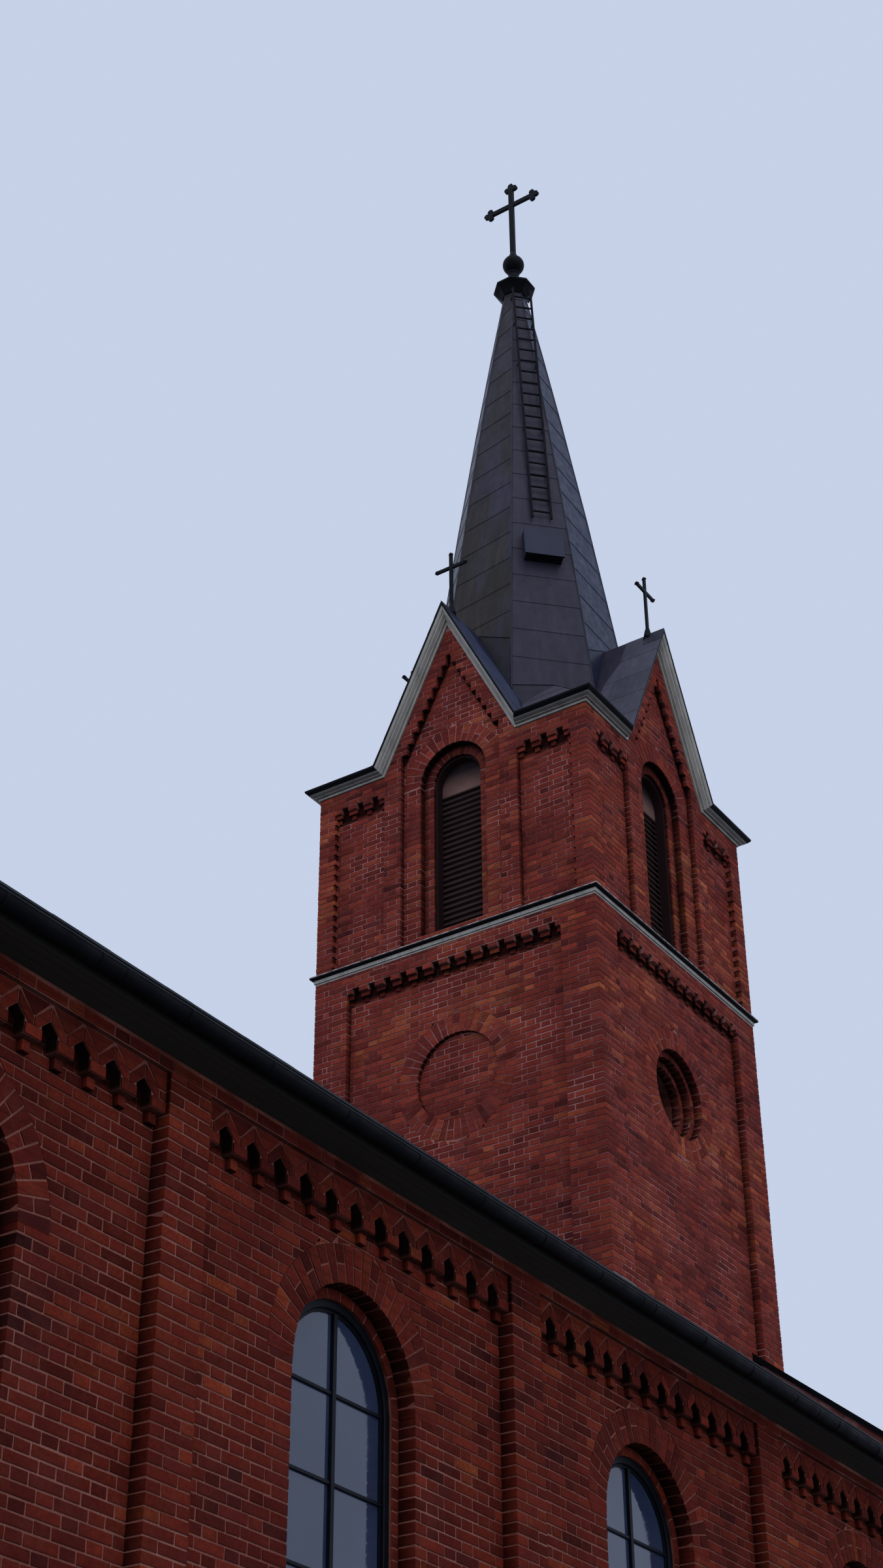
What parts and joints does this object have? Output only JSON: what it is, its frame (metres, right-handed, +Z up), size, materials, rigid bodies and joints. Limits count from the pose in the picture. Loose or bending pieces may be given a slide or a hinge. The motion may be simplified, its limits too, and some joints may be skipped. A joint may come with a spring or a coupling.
{
  "type": "church building",
  "caption": "Brick church with a pilastered nave, round-headed windows and a square belfry tower under an octagonal metal-clad spire.",
  "frame": {"origin": "on the ground under the middle of the building's box", "axes": "+X towards the tower and portal, -Y the left side as seen by someone facing the portal, +Z up"},
  "size_m": [19.311, 11.28, 31.46],
  "materials": {
    "brick": "deep red and red-brown bricks in pinkish grey mortar, some orange and some dark purple",
    "floor_stone": "grey stone slabs, worn matt",
    "slate": "dark blue-grey slates",
    "eaves_timber": "dark olive painted boards with a black gutter",
    "black_metal": "black painted sheet metal",
    "window_glass": "dark panes in a slim dark metal frame",
    "painted_trim": "pale grey-green painted mouldings with a black metal edge",
    "dark_timber": "near-black weathered boards",
    "sheet_metal": "weathered blue-grey sheets with staggered seams, browner towards the rear",
    "ladder_metal": "grey-blue painted bars",
    "wrought_iron": "blue-black painted iron"
  },
  "bodies": {
    "root": {"nave_left_wall": "brick", "nave_right_wall": "brick", "rear_gable_wall": "brick", "front_gable_left_wall": "brick", "front_gable_right_wall": "brick", "nave_floor": "floor_stone", "nave_roof_left": "slate", "nave_roof_right": "slate", "eaves_left": "eaves_timber", "eaves_right": "eaves_timber", "rear_coping": "black_metal", "front_coping_left": "black_metal", "front_coping_right": "black_metal", "nave_window_left_1": "window_glass", "nave_window_right_1": "window_glass", "nave_window_left_2": "window_glass", "nave_window_right_2": "window_glass", "nave_window_left_3": "window_glass", "nave_window_right_3": "window_glass", "nave_window_left_4": "window_glass", "nave_window_right_4": "window_glass", "nave_window_left_5": "window_glass", "nave_window_right_5": "window_glass", "rear_window_1": "window_glass", "rear_window_2": "window_glass", "rear_window_3": "window_glass", "tower_belt_course": "painted_trim", "belfry_floor": "dark_timber", "tower_wall_left": "brick", "belfry_wall_left": "brick", "belfry_louvres_left": "dark_timber", "gable_cross_left": "wrought_iron", "tower_wall_front": "brick", "belfry_wall_front": "brick", "belfry_louvres_front": "dark_timber", "gable_cross_front": "wrought_iron", "tower_wall_right": "brick", "belfry_wall_right": "brick", "belfry_louvres_right": "dark_timber", "gable_cross_right": "wrought_iron", "tower_wall_rear": "brick", "belfry_wall_rear": "brick", "belfry_louvres_rear": "dark_timber", "gable_cross_rear": "wrought_iron", "gable_cornice": "painted_trim", "gable_roofs": "sheet_metal", "spire": "sheet_metal", "spire_hatch": "sheet_metal", "spire_ladder": "ladder_metal", "spire_collar": "black_metal", "spire_cross": "wrought_iron", "portal_leaf_left": "dark_timber", "portal_leaf_right": "dark_timber", "portal_step": "floor_stone"}
  },
  "joints": []
}
